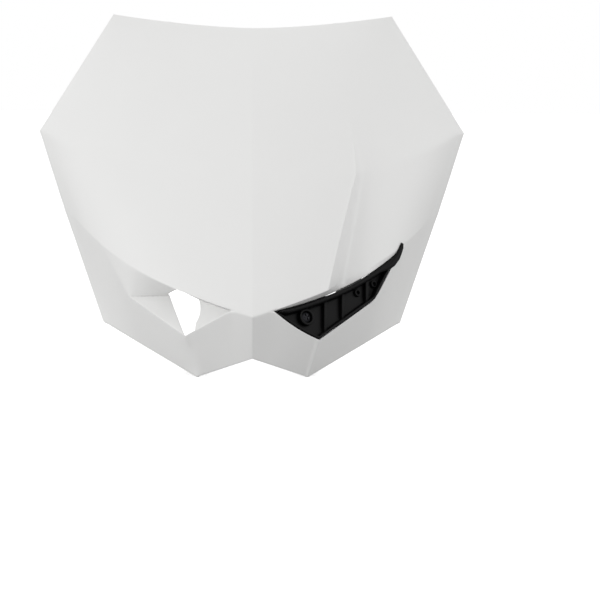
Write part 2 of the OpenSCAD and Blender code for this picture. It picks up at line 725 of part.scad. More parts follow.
// Screw of the insert, with a cross recess in its head
recess_w = 1;
recess_depth = 1.2;
recess_len = 0.66 * screw_head_d;
module insert_screw() {
    color("#202022")
        on_eye()
            translate([screw_spot[0], screw_spot[1], floor_top])
                difference() {
                    union() {
                        cylinder(d = screw_head_d, h = screw_head_h);
                        translate([0, 0, -screw_len])
                            cylinder(d = screw_d, h = screw_len + join);
                    }
                    for (turn = [0, 90])
                        rotate([0, 0, turn])
                            translate([-recess_len / 2, -recess_w / 2, screw_head_h - recess_depth])
                                cube([recess_len, recess_w, recess_depth + past]);
                }
}

mask_shell();
eye_insert();
insert_screw();
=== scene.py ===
"""Looks of the motorcycle headlight mask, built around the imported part. All lengths are in metres."""

import math

import bmesh
import bpy
from bpy.props import FloatProperty, FloatVectorProperty, PointerProperty
from mathutils import Matrix, Vector


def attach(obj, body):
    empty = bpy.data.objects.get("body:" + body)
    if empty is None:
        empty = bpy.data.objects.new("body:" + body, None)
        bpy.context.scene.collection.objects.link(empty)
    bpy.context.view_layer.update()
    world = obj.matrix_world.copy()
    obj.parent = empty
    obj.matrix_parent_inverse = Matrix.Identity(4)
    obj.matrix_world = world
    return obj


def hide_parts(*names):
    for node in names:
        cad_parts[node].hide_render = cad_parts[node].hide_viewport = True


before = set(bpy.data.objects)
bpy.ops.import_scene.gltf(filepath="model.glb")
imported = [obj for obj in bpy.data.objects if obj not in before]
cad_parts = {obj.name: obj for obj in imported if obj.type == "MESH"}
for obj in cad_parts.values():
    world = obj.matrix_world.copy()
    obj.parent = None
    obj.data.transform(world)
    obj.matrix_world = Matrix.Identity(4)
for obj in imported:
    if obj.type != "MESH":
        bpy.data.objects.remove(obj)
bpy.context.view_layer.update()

bl_info = {
    "name": "Motorcycle Headlight Mask",
    "version": (1, 0, 0),
    "blender": (4, 5, 0),
    "location": "3D View > Sidebar > Mask",
    "description": "Builds a moulded headlight mask with its eye insert, fittings and studio",
    "category": "Add Mesh",
}

MM = 0.001


# ---------------------------------------------------------------- settings


def length(name, mm, text):
    """A length property whose default is written in millimetres."""
    return FloatProperty(name=name, description=text, default=mm * MM, unit="LENGTH", subtype="DISTANCE",
                         precision=4)


def share(name, value, text):
    """A plain number between 0 and 1."""
    return FloatProperty(name=name, description=text, default=value, min=0, max=1, subtype="FACTOR")


def colour(name, code, text):
    """A colour property whose default is an sRGB hex value."""
    return FloatVectorProperty(name=name, description=text, default=linear(code)[:3], subtype="COLOR", size=3,
                               min=0, max=1)


def linear(code):
    """sRGB hex value as a linear RGBA colour."""
    parts = [int(code[i:i + 2], 16) / 255 for i in (0, 2, 4)]
    return tuple(c / 12.92 if c <= 0.04045 else ((c + 0.055) / 1.055) ** 2.4 for c in parts) + (1.0,)


class MaskForm(bpy.types.PropertyGroup):
    """Sizes of the shell, as in the part's own source"""
    side_x: length("Side half width", 146, "Half width at the side corners")
    side_z: length("Side height", 152, "Height of the side corners above the chin points")
    top_x: length("Top half width", 96, "Half width at the top corners")
    top_z: length("Top height", 232, "Height of the top corners")
    top_dip: length("Top dip", 9, "How far the top edge dips at the centre line")
    corner_x: length("Lower corner half width", 98, "Half width at the lower corners")
    corner_z: length("Lower corner height", 27.5, "Height of the lower corners")
    chin_x: length("Chin half width", 35, "Half distance between the chin points")
    notch_z: length("Notch height", 13.5, "Height of the notch between the chin points")
    edge_bow: length("Edge bow", 1, "How far the edge below the side corners bows outwards")
    rake: FloatProperty(name="Rake", description="Angle that the mask leans back", default=math.radians(24),
                        subtype="ANGLE")
    nose_z: length("Nose height", 40.5, "Height of the nose point")
    nose_ahead: length("Nose ahead", 97, "How far the nose stands ahead of the fork plane")
    notch_ahead: length("Notch ahead", 77, "How far the notch stands ahead")
    chin_ahead: length("Chin ahead", 57, "How far the chin points stand ahead")
    corner_ahead: length("Corner ahead", 8, "How far the lower corners stand ahead")
    side_ahead: length("Side ahead", 2, "How far the side corners stand ahead")
    top_ahead: length("Top ahead", 22, "How far the top corners stand ahead")
    crest_ahead: length("Crest ahead", 36, "How far the middle of the top edge stands ahead")
    forehead_bulge: length("Forehead bulge", 7, "Bulge of the forehead between nose and top edge")
    top_roll: length("Top roll", 3, "How much the top edge rolls back")
    crown_slope: share("Crown slope", 0.25, "Share of the fall to the sides that is a straight slope")
    crown_tuck: share("Crown tuck", 0.08, "Share of the fall that comes as a tuck at the edge")
    wall: length("Wall", 2.5, "Thickness of the moulded wall")
    eye_inner_x: length("Eye inner half distance", 13, "Half distance between the inner ends of the eyes")
    eye_tip_x: length("Eye tip half distance", 99, "Half distance between the outer tips of the eyes")
    brow_rise: length("Brow rise", 28.7, "Rise of the brow along a straight line")
    brow_hook: length("Brow hook", 11, "Extra upward hook of the brow at its outer tip")
    brow_end_z: length("Brow end height", 97, "Height at which the brow line meets the side edge")
    eye_low_x: length("Eye low half distance", 42, "Half distance between the lowest corners of the eyes")
    eye_low_z: length("Eye low height", 27, "Height of the lowest corners of the eyes")
    eye_low_ahead: length("Eye low ahead", 75, "How far those corners stand ahead")
    lid_x: length("Lid corner half distance", 79, "Half distance between the outer lid corners")
    lid_z: length("Lid corner height", 48, "Height of the outer lid corners")
    lid_ahead: length("Lid corner ahead", 50, "How far those corners stand ahead")
    low_drop: length("Low drop", 2.2, "How much lower the right eye's lowest corner lies")
    lid_drop: length("Lid drop", 1.3, "How much lower the right eye's outer lid corner lies")
    lid_bow: length("Lid bow", 1.6, "Downward bow of the right eye's edge near the nose")
    top_sag: length("Top sag", 7.4, "Sag of the upper edge of the insert's opening")
    scoop_depth: length("Scoop depth", 20, "Depth of the scoop behind the brow")
    floor_x: length("Scoop floor half distance", 52.5, "Distance of the fold in the scoop's floor")
    floor_z: length("Scoop floor height", 49, "Height of the fold in the scoop's floor")
    floor_ahead: length("Scoop floor ahead", 57, "How far that fold stands ahead")
    scoop_drop: share("Scoop drop", 0.22, "Drop of the wall under the brow, as a share of the depth")
    scoop_lean: share("Scoop lean", 0.3, "Outward lean of that wall, as a share of the depth")
    channel_depth: length("Channel depth", 16, "Depth of the air channel at the brow")
    channel_x: length("Channel crease distance", 47.3, "Distance of the channel's crease at the brow")
    channel_run: share("Channel run", 0.58, "Share of the forehead's height that the channel runs up")
    step_w: length("Step width", 9, "Width of the channel's step at the brow")
    step_end_w: length("Step end width", 1.8, "Width of the step where it runs out")
    crease_lean: share("Crease lean", 0.21, "How far the crease leans outwards")
    flange_depth: length("Flange depth", 11, "Depth of the return flange of the eyes")
    bead: length("Crease bead", 0.8, "Height of the rounded bead on the right side's creases")


class MaskInsert(bpy.types.PropertyGroup):
    """Sizes of the eye insert, its screw and its seats"""
    gap: length("Gap", 0.5, "Gap between the insert and the eye opening")
    depth: length("Depth", 7, "Depth of the insert from rim to back")
    wall: length("Wall", 1.8, "Thickness of the insert's walls and floor")
    lip_proud: length("Lip", 1.6, "How far the upper lip stands out")
    lip_w: length("Lip width", 3.2, "Width of the upper lip")
    blunt: length("Blunt ends", 3.6, "How far short of the ends of the eye the tray stops")
    rib_h: length("Rib height", 2.6, "Height of the ribs above the floor")
    rib_w: length("Rib width", 2, "Thickness of the ribs")
    seat_gap: length("Seat gap", 0.3, "Gap between the insert and its seats")
    screw_x: length("Screw distance", 35.5, "Distance of the screw from the centre line")
    screw_d: length("Screw diameter", 3.5, "Diameter of the screw")
    head_d: length("Head diameter", 7, "Diameter of the screw's head")
    head_h: length("Head height", 2.2, "Height of the screw's head")
    screw_len: length("Screw length", 11, "Length of the screw under its head")
    pillar_d: length("Pillar diameter", 8, "Diameter of the screw's pillar")
    pillar_len: length("Pillar length", 10, "Length of the pillar")
    leg_x: length("Leg distance", 66, "Distance of the snap leg from the centre line")
    leg_w: length("Leg width", 8, "Width of the snap leg")
    leg_t: length("Leg thickness", 2, "Thickness of the snap leg")


class MaskBack(bpy.types.PropertyGroup):
    """Sizes of the fittings on the back"""
    rib_w: length("Rib thickness", 2.4, "Thickness of the ribs")
    plate_t: length("Plate thickness", 3, "Thickness of the plates that hold the straps")
    peg_d: length("Peg diameter", 10, "Diameter of the locating pegs")
    peg_len: length("Peg length", 16, "Length of the pegs behind their flange")
    peg_flange_d: length("Flange diameter", 16, "Diameter of the peg flanges")
    peg_flange_t: length("Flange thickness", 3, "Thickness of the peg flanges")
    peg_flange_ahead: length("Flange ahead", 30, "How far the peg flanges stand ahead")
    peg_root: length("Peg root", 22, "Length of the pegs ahead of their flange")
    slot_w: length("Slot width", 9, "Width of the strap slots")
    slot_ahead: length("Slot ahead", 8, "How far the slotted plates stand ahead")
    hook_ahead: length("Hook ahead", 16, "How far the strap hooks stand ahead")
    hook_reach: length("Hook reach", 10, "How far the hooks reach to the centre line")
    hook_lip: length("Hook lip", 4, "Height of the lips of the hooks")
    web_x: length("Web reach", 42, "How far the web behind the open eye reaches")
    web_lid_gap: length("Web gap", 3.5, "Gap between the web and the lower edge of the eye")
    lamp_x: length("Lamp opening distance", 49.5, "Distance of the lamp opening from the centre line")
    lamp_z: length("Lamp opening height", 43, "Height of the lamp opening")
    lamp_r: length("Lamp opening radius", 14.5, "Radius of the lamp opening")


class MaskFinish(bpy.types.PropertyGroup):
    """Colours of the plastics, the screw and the studio"""
    shell: colour("Shell", "F0F0EF", "White polypropylene of the shell")
    insert: colour("Insert", "0C0C0D", "Black polypropylene of the insert")
    screw: colour("Screw", "26262A", "Black oxide of the screw")
    studio: colour("Studio", "FBFBFB", "White of the floor as the camera sees it")
    bounce: colour("Bounce", "B0B0B0", "Grey of the floor as it lights the mask from below")


# ---------------------------------------------------------------- formulas of the form

K_INNER, K_WEB, K_CREASE, K_FOOT, K_LID, K_TIP, K_EDGE = 3, 9, 10, 11, 17, 21, 26
R_PEG, R_LID, R_BROW, R_SIDE, R_TOP = 3, 6, 11, 19, 31
HOOK_POWER, CROWN_POWER, TUCK_POWER, ROLL_POWER, DIP_POWER = 3.5, 2.2, 12, 14, 1.65
RUN_POWER, FADE_POWER = 1.3, 2
SAG_SKEW, SAG_POWER = 1.1, 0.7
CHIN_REACH, CREASE_TOP = 1.5, 21
INNER_TOP_S, LID_TOP_S, TIP_TOP_S = 0.2, 0.76, 0.88
CHIN_SHARES = [(K_CREASE, 0), (K_FOOT, 0.08), (K_LID, 0.6), (K_TIP, 0.82), (K_EDGE, 1)]


def mix(a, b, s):
    return a + (b - a) * s


def clamp(s):
    return max(0.0, min(1.0, s))


def lookup(x, table):
    """Value at x on the straight lines between the points of the table."""
    for (x0, y0), (x1, y1) in zip(table, table[1:]):
        if x <= x1:
            return mix(y0, y1, max(0.0, x - x0) / (x1 - x0))
    return table[-1][1]


class Form:
    """The mask's surface: columns k are counted from the centre line and rows r up from the chin."""

    def __init__(self, sizes):
        for name in sizes.bl_rna.properties.keys():
            if name not in ("rna_type", "name"):
                setattr(self, name, getattr(sizes, name))
        self.tan = math.tan(self.rake)
        nose_y = self.nose_z * self.tan - self.nose_ahead
        top_y = self.top_z * self.tan - self.top_ahead
        self.y_mid = (nose_y + top_y) / 2
        self.brow_end_x = self.edge_x(self.brow_end_z)
        self.v_side = (self.side_z - self.brow_end_z) / (self.top_z - self.brow_end_z)
        self.eye_a = self.place(self.lid(1, K_INNER))
        self.eye_b = self.place(self.lid(1, K_TIP))
        eye_c = self.place(self.lid(1, K_CREASE))
        self.eye_ex = (self.eye_b - self.eye_a).normalized()
        self.eye_n = (eye_c - self.eye_a).cross(self.eye_b - self.eye_a).normalized()
        self.eye_ey = self.eye_n.cross(self.eye_ex)

    def place(self, p):
        return Vector((p[0], p[1] * self.tan - p[2] - self.y_mid, p[1]))

    def edge_x(self, z):
        if z < self.side_z:
            s = (z - self.corner_z) / (self.side_z - self.corner_z)
            return mix(self.corner_x, self.side_x, s) + self.edge_bow * math.sin(math.pi * clamp(s))
        return mix(self.side_x, self.top_x, (z - self.side_z) / (self.top_z - self.side_z))

    def edge_ahead(self, z):
        if z < self.side_z:
            return mix(self.corner_ahead, self.side_ahead, (z - self.corner_z) / (self.side_z - self.corner_z))
        return mix(self.side_ahead, self.top_ahead, (z - self.side_z) / (self.top_z - self.side_z))

    def brow_z(self, x):
        line = self.nose_z + self.brow_rise * x / self.eye_tip_x
        return line + min(self.brow_hook * (x / self.eye_tip_x) ** HOOK_POWER, self.brow_end_z - line)

    def crown(self, s):
        return (self.crown_slope * s + (1 - self.crown_slope - self.crown_tuck) * s ** CROWN_POWER
                + self.crown_tuck * s ** TUCK_POWER)

    def row_v(self, r):
        if r <= R_SIDE:
            return self.v_side * (r - R_BROW) / (R_SIDE - R_BROW)
        return mix(self.v_side, 1, (r - R_SIDE) / (R_TOP - R_SIDE))

    def crease_s(self, v):
        return self.channel_x / self.brow_end_x + self.crease_lean * v

    def foot_s(self, v):
        return self.crease_s(v) + mix(self.step_end_w, self.step_w,
                                      clamp(1 - v / self.channel_run)) / self.brow_end_x

    def row_s(self, k, v):
        return lookup(k, [
            (0, 0),
            (K_INNER, mix(self.eye_inner_x / self.brow_end_x, INNER_TOP_S, v)),
            (K_CREASE, self.crease_s(v)),
            (K_FOOT, self.foot_s(v)),
            (K_LID, mix(self.lid_x / self.brow_end_x, LID_TOP_S, v)),
            (K_TIP, mix(self.eye_tip_x / self.brow_end_x, TIP_TOP_S, v)),
            (K_EDGE, 1)])

    def channel(self, s, v):
        crease, foot = self.crease_s(v), self.foot_s(v)
        if s <= crease:
            return 0
        rise = clamp((s - crease) / (foot - crease))
        fade = 1 - max(0, s - foot) / (1 - foot)
        return rise * self.channel_depth * clamp(1 - v / self.channel_run) ** RUN_POWER * fade ** FADE_POWER

    def crest(self, s, v):
        """Rounded bead along the crease of the channel."""
        near = clamp(1 - abs(s - self.crease_s(v)) * self.brow_end_x / (0.9 * MM))
        return self.bead * near * clamp(4 * (1 - v / self.channel_run))

    def fore(self, side, s, v):
        """Point of the forehead as (x, z, ahead)."""
        edge_z = mix(self.brow_end_z, self.top_z, v)
        low = self.brow_z(s * self.brow_end_x)
        high = self.top_z - self.top_dip * (1 - s ** DIP_POWER)
        centre = (mix(self.nose_ahead, self.crest_ahead, v) + self.forehead_bulge * 4 * v * (1 - v)
                  - self.top_roll * v ** ROLL_POWER)
        ahead = mix(centre, self.edge_ahead(edge_z), self.crown(s))
        sink = self.channel(s, v) - self.crest(s, v) if side > 0 else 0
        return Vector((side * s * self.edge_x(edge_z), mix(low, high, v), ahead - sink))

    def brow(self, side, k):
        return self.fore(side, self.row_s(k, 0), 0)

    def lid(self, side, k):
        """Lower line of the eye, which the brow shares at both ends."""
        if k <= K_INNER or k >= K_TIP:
            return self.brow(side, k)
        inner, tip = self.brow(1, K_INNER), self.brow(side, K_TIP)
        spots = [(K_INNER, inner), (K_CREASE, Vector((self.eye_low_x, self.eye_low_z, self.eye_low_ahead))),
                 (K_LID, Vector((self.lid_x, self.lid_z, self.lid_ahead))),
                 (K_TIP, Vector((self.eye_tip_x, tip[1], tip[2])))]
        x, z, a = lookup(k, spots)
        if side > 0:
            z -= lookup(k, [(K_INNER, 0), (K_CREASE, self.low_drop), (K_LID, self.lid_drop), (K_TIP, 0)])
            z -= self.lid_bow * math.sin(math.pi * clamp((k - K_INNER) / (K_CREASE - K_INNER)))
        return Vector((side * x, z, a))

    def chin_edge(self, side, k):
        if k <= K_CREASE:
            s = k / K_CREASE
            return Vector((side * self.chin_x * s, mix(self.notch_z, 0, s),
                           mix(self.notch_ahead, self.chin_ahead, s)))
        s = lookup(k, CHIN_SHARES)
        return Vector((side * mix(self.chin_x, self.corner_x, s), mix(0, self.corner_z, s),
                       mix(self.chin_ahead, self.corner_ahead, s)))

    def scoop_foot(self, k):
        """Foot of the wall under the brow, which runs level from the open eye to the lid corner."""
        if k >= K_LID:
            return self.lid(-1, k)
        b, h = self.brow(-1, K_CREASE), self.scoop_depth
        start = Vector((b[0] - self.scoop_lean * h, b[1] - self.scoop_drop * h, b[2] - h))
        return mix(start, self.lid(-1, K_LID), (k - K_CREASE) / (K_LID - K_CREASE))

    def scoop_floor(self, k):
        if k >= K_LID:
            return self.lid(-1, k)
        s = clamp((k - K_CREASE) / (K_LID - K_CREASE))
        return Vector((-mix(self.floor_x, self.lid_x, s), mix(self.floor_z, self.lid_z, s),
                       mix(self.floor_ahead, self.lid_ahead, s)))

    def behind_eye(self, p, depth):
        return p - self.eye_n * ((p - self.eye_a).dot(self.eye_n) + depth)

    def behind(self, side, p):
        """Foot of the flange behind a point of the eye's edge."""
        if side > 0:
            return self.behind_eye(p, self.flange_depth)
        q = self.behind_eye(Vector((-p[0], p[1], p[2])), self.flange_depth)
        return Vector((-q[0], q[1], q[2]))

    def top_line(self, across):
        """Upper edge of the insert's opening, in the eye's plane."""
        s = clamp(across / (self.eye_b - self.eye_a).length)
        return -self.top_sag * max(0.0, math.sin(math.pi * s ** SAG_SKEW)) ** SAG_POWER

    def opening_top(self, b, depth):
        f = self.flat_eye(b)
        return self.behind_eye(b, depth) + self.eye_ey * (self.top_line(f.x) - f.y)

    def eye_point(self, side, k, r):
        b, l = self.place(self.brow(side, k)), self.place(self.lid(side, k))
        if k <= K_INNER or k >= K_TIP:
            return b
        if side > 0:
            if r <= R_LID + 1:
                return mix(l, self.behind(side, l), r - R_LID)
            back = self.opening_top(b, self.flange_depth)
            shoulder = self.opening_top(b, max(0, (self.eye_a - b).dot(self.eye_n)))
            if r <= R_BROW - 1:
                return mix(back, shoulder, clamp(r - R_BROW + 2))
            return mix(shoulder, b, r - R_BROW + 1)
        if k <= K_WEB and r >= R_BROW - 1:
            return mix(self.behind(side, b), b, r - R_BROW + 1)
        floor, foot = self.place(self.scoop_floor(k)), self.place(self.scoop_foot(k))
        if r <= R_LID + 2:
            return mix(l, floor, (r - R_LID) / 2)
        if r <= R_BROW - 1:
            return mix(floor, foot, (r - R_LID - 2) / 2)
        return mix(foot, b, r - R_BROW + 1)

    def point(self, side, k, r):
        if r >= R_BROW:
            v = self.row_v(r)
            return self.place(self.fore(side, self.row_s(k, v), v))
        if r > R_LID:
            return self.eye_point(side, k, r)
        return self.chin(side, k, r)

    def chin(self, side, k, r):
        """Point under the eye: its ridge is smoothed out on one side and beaded on the other."""
        def flat(k):
            return mix(self.place(self.chin_edge(side, k)), self.place(self.lid(side, k)), r / R_LID)
        if side < 0:
            reach = max(0, CHIN_REACH - abs(k - K_CREASE)) * clamp(min(r, (R_LID - 0.5 - r) / 2))
            return sum((flat(k + reach * i / 4) for i in range(-4, 5)), Vector()) / 9
        if side > 0 and 0 < abs(k - K_CREASE) < 0.5:
            return flat(K_CREASE + 2.2 * (k - K_CREASE))
        p = flat(k)
        if side > 0 and k == K_CREASE:
            p.y -= 1.6 * self.bead
        return p

    def open_cell(self, side, k, r):
        """Whether the cell with the outer column k and the lower row r belongs to an eye hole."""
        if side < 0:
            return (K_INNER < k <= K_CREASE
                    and R_LID <= r < (R_BROW - 1 if k <= K_WEB else R_BROW))
        return K_INNER < k <= K_TIP and R_LID + 1 <= r < R_BROW - 2

    def eye_at(self, x, z):
        """Point of the eye's plane at a given x and z, in the plane's own axes."""
        dx, dz = x - self.eye_a[0], z - self.eye_a[2]
        ex, ey = self.eye_ex, self.eye_ey
        det = ex[0] * ey[2] - ex[2] * ey[0]
        return Vector(((dx * ey[2] - dz * ey[0]) / det, (ex[0] * dz - ex[2] * dx) / det, 0))

    def lid_z_at(self, x):
        """Height of the right eye's lower line at a given x."""
        ks = [K_INNER + i / 4 for i in range(4 * (K_CREASE - K_INNER) + 1)] + [K_LID, K_TIP]
        return lookup(x, [tuple(self.lid(1, k))[:2] for k in ks])

    def eye_middle(self, x, s):
        return self.eye_at(x, mix(self.lid_z_at(x), self.brow_z(x), s))

    def eye_span(self, x):
        """Points of the right eye's lower and upper edges at a given x, in the eye's plane."""
        z = self.lid_z_at(x)
        low = self.eye_at(x, z)
        below, above = z, self.brow_z(x) + 4 * MM
        for _ in range(24):
            middle = (below + above) / 2
            p = self.eye_at(x, middle)
            below, above = (middle, above) if p.y < self.top_line(p.x) else (below, middle)
        return low, self.eye_at(x, below)

    def eye_matrix(self, side=1):
        m = Matrix((self.eye_ex, self.eye_ey, self.eye_n)).transposed().to_4x4()
        m.translation = self.eye_a
        return m if side > 0 else Matrix.Scale(-1, 4, Vector((1, 0, 0))) @ m

    def flat_eye(self, p):
        return Vector(((p - self.eye_a).dot(self.eye_ex), (p - self.eye_a).dot(self.eye_ey), 0))

    def squareness(self, x, edge):
        """How squarely an upright line of the eye's plane crosses its lower (0) or upper (1) edge."""
        a, b = (self.eye_span(x + d)[edge] for d in (-0.2 * MM, 0.2 * MM))
        t = (b - a).normalized()
        up = (self.eye_at(0, 1) - self.eye_at(0, 0)).normalized()
        return max(0.35, abs(up.x * t.y - up.y * t.x))


# ---------------------------------------------------------------- mesh helpers


def finish_piece(name, bm, materials, smooth=30, modifiers=()):
    """Turns a bmesh into a piece of the object that rides on the part's body."""
    mesh = bpy.data.meshes.new(name)
    bm.to_mesh(mesh)
    bm.free()
    for m in materials:
        mesh.materials.append(m)
    piece = bpy.data.objects.new(name, mesh)
    bpy.context.scene.collection.objects.link(piece)
    mesh.shade_smooth()
    mesh.set_sharp_from_angle(angle=math.radians(smooth))
    for kind, settings in modifiers:
        modifier = piece.modifiers.new(kind.title(), kind)
        for key, value in settings.items():
            setattr(modifier, key, value)
    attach(piece, "root")
    return piece


def soften(bm, width, segments=3, angle=35):
    """Rounds every edge that is sharper than the angle."""
    sharp = [e for e in bm.edges if len(e.link_faces) == 2 and e.calc_face_angle() > math.radians(angle)]
    bmesh.ops.bevel(bm, geom=sharp, offset=width, offset_type="OFFSET", affect="EDGES", segments=segments,
                    profile=0.5, clamp_overlap=True, material=-1)


def slab(bm, outline, low, high, width=0.0):
    """Plate with a flat outline between two depths, with its edges rounded by width."""
    part = bmesh.new()
    face = part.faces.new([part.verts.new((p[0], p[1], low)) for p in outline])
    out = bmesh.ops.extrude_face_region(part, geom=[face])
    bmesh.ops.translate(part, vec=(0, 0, high - low),
                        verts=[v for v in out["geom"] if isinstance(v, bmesh.types.BMVert)])
    bmesh.ops.recalc_face_normals(part, faces=part.faces)
    if width:
        soften(part, width)
    join(bm, part)


def turned(bm, profile, segments=48, width=0.0):
    """Round form around the Z axis from its profile of (radius, height) points."""
    part = bmesh.new()
    verts = [part.verts.new((r, 0, z)) for r, z in profile]
    edges = [part.edges.new(pair) for pair in zip(verts, verts[1:])]
    bmesh.ops.spin(part, geom=verts + edges, cent=(0, 0, 0), axis=(0, 0, 1), angle=2 * math.pi,
                   steps=segments, use_merge=True)
    bmesh.ops.remove_doubles(part, verts=part.verts, dist=1e-6)
    bmesh.ops.recalc_face_normals(part, faces=part.faces)
    if width:
        soften(part, width)
    join(bm, part)


def join(bm, part, matrix=None):
    """Moves the faces of one bmesh into another."""
    if matrix is not None:
        bmesh.ops.transform(part, matrix=matrix, verts=part.verts)
        if matrix.determinant() < 0:
            bmesh.ops.reverse_faces(part, faces=part.faces)
    mesh = bpy.data.meshes.new("part")
    part.to_mesh(mesh)
    part.free()
    bm.from_mesh(mesh)
    bpy.data.meshes.remove(mesh)


def block(bm, low, high, width=0.0):
    """Box between two corners with rounded edges."""
    slab(bm, [(low[0], low[1]), (high[0], low[1]), (high[0], high[1]), (low[0], high[1])], low[2], high[2], width)


def cut(piece, tool):
    """Cuts the tool's form out of a piece and removes the tool."""
    modifier = piece.modifiers.new("Cut", "BOOLEAN")
    modifier.operation = "DIFFERENCE"
    modifier.solver = "EXACT"
    modifier.object = tool
    bpy.context.view_layer.update()
    mesh = bpy.data.meshes.new_from_object(piece.evaluated_get(bpy.context.evaluated_depsgraph_get()))
    piece.modifiers.remove(modifier)
    if not mesh.polygons:
        raise RuntimeError(f"cutting {piece.name} left nothing of it")
    old = piece.data
    piece.data = mesh
    bpy.data.meshes.remove(old)
    bpy.data.objects.remove(tool)
    piece.data.set_sharp_from_angle(angle=math.radians(30))


def subdivision(levels):
    return ("SUBSURF", {"levels": levels, "render_levels": levels})


# ---------------------------------------------------------------- materials


def node(tree, kind, settings=None, **links):
    """Adds a node with its settings, and links or sets its inputs."""
    n = tree.nodes.new(kind)
    for key, value in (settings or {}).items():
        setattr(n, key, value)
    for key, value in links.items():
        socket = n.inputs[int(key[1:])] if key[0] == "i" and key[1:].isdigit() else n.inputs[key.replace("_", " ")]
        if isinstance(value, bpy.types.NodeSocket):
            tree.links.new(value, socket)
        else:
            socket.default_value = value
    return n


def new_material(name):
    material = bpy.data.materials.new(name)
    material.use_nodes = True
    tree = material.node_tree
    tree.nodes.clear()
    return material, tree


def moulded_polypropylene(name, base, rough, rough_spread, grain_mm, grain_depth_mm, waviness, shade, gloss=0.5):
    """Injection moulded polypropylene: an even satin skin with a fine grain, slight flow marks and soft sheen."""
    material, tree = new_material(name)
    place = node(tree, "ShaderNodeTexCoord").outputs["Object"]
    grain = node(tree, "ShaderNodeTexNoise", Vector=place, Scale=1 / (grain_mm * MM), Detail=3.0,
                 Roughness=0.6).outputs[0]
    flow = node(tree, "ShaderNodeTexNoise", Vector=place, Scale=1 / (38 * MM), Detail=2.0, Roughness=0.5).outputs[0]
    darker = tuple(c * shade for c in base[:3]) + (1.0,)
    tint = node(tree, "ShaderNodeMix", {"data_type": "RGBA"}, i0=flow, i6=darker, i7=base).outputs[2]
    fine = node(tree, "ShaderNodeBump", Height=grain, Distance=grain_depth_mm * MM, Strength=0.6).outputs[0]
    wave = node(tree, "ShaderNodeBump", Height=flow, Distance=waviness * MM, Strength=0.5, Normal=fine).outputs[0]
    sheen = node(tree, "ShaderNodeMapRange", Value=flow, To_Min=rough, To_Max=rough + rough_spread).outputs[0]
    shader = node(tree, "ShaderNodeBsdfPrincipled", Base_Color=tint, Normal=wave, Roughness=sheen, IOR=1.49,
                  Specular_IOR_Level=gloss)
    node(tree, "ShaderNodeOutputMaterial", Surface=shader.outputs[0])
    return material


def black_oxide_steel(name, base):
    """Black oxide on steel: dark and half metallic, with a speckled roughness."""
    material, tree = new_material(name)
    place = node(tree, "ShaderNodeTexCoord").outputs["Object"]
    speck = node(tree, "ShaderNodeTexNoise", Vector=place, Scale=1 / (0.5 * MM), Detail=2.0).outputs[0]
    sheen = node(tree, "ShaderNodeMapRange", Value=speck, To_Min=0.35, To_Max=0.55).outputs[0]
    shader = node(tree, "ShaderNodeBsdfPrincipled", Metallic=0.7, Base_Color=base, Roughness=sheen)
    node(tree, "ShaderNodeOutputMaterial", Surface=shader.outputs[0])
    return material


def studio_white(name, base, bounce, glow):
    """Painted floor: the camera sees it as plain white that still takes the object's soft shadow."""
    material, tree = new_material(name)
    seen = node(tree, "ShaderNodeLightPath").outputs["Is Camera Ray"]
    tint = node(tree, "ShaderNodeMix", {"data_type": "RGBA"}, i0=seen, i6=bounce, i7=base).outputs[2]
    added = node(tree, "ShaderNodeMath", {"operation": "MULTIPLY"}, i0=seen, i1=glow).outputs[0]
    shader = node(tree, "ShaderNodeBsdfPrincipled", Base_Color=tint, Roughness=0.9, Emission_Color=(1, 1, 1, 1),
                  Emission_Strength=added)
    node(tree, "ShaderNodeOutputMaterial", Surface=shader.outputs[0])
    return material


def materials():
    """The materials by name, made once."""
    look = bpy.context.scene.mask_finish
    if "white_polypropylene_satin" not in bpy.data.materials:
        white, black = tuple(look.shell) + (1.0,), tuple(look.insert) + (1.0,)
        moulded_polypropylene("white_polypropylene_satin", white, 0.36, 0.06, 0.5, 0.004, 0.03, 0.985)
        moulded_polypropylene("white_polypropylene_matt", white, 0.58, 0.08, 0.8, 0.03, 0.04, 0.97)
        moulded_polypropylene("black_polypropylene_grained", black, 0.4, 0.1, 0.45, 0.02, 0.02, 0.8, 0.12)
        black_oxide_steel("black_oxide_steel", tuple(look.screw) + (1.0,))
        studio_white("studio_white_paint", tuple(look.studio) + (1.0,), tuple(look.bounce) + (1.0,), 0.62)
    return bpy.data.materials


# ---------------------------------------------------------------- the shell

COLUMNS = sorted({*range(0, K_EDGE + 1), 0.25, 9.8, 10.15, 25.75})
ROWS = sorted({*range(0, R_TOP + 1), 0.2, 5.8, 6.1, 6.9, 7.85, 8.15, 9.1, 9.85, 10.12, 10.9,
               11.15, 18.85, 19.15, 30.85})


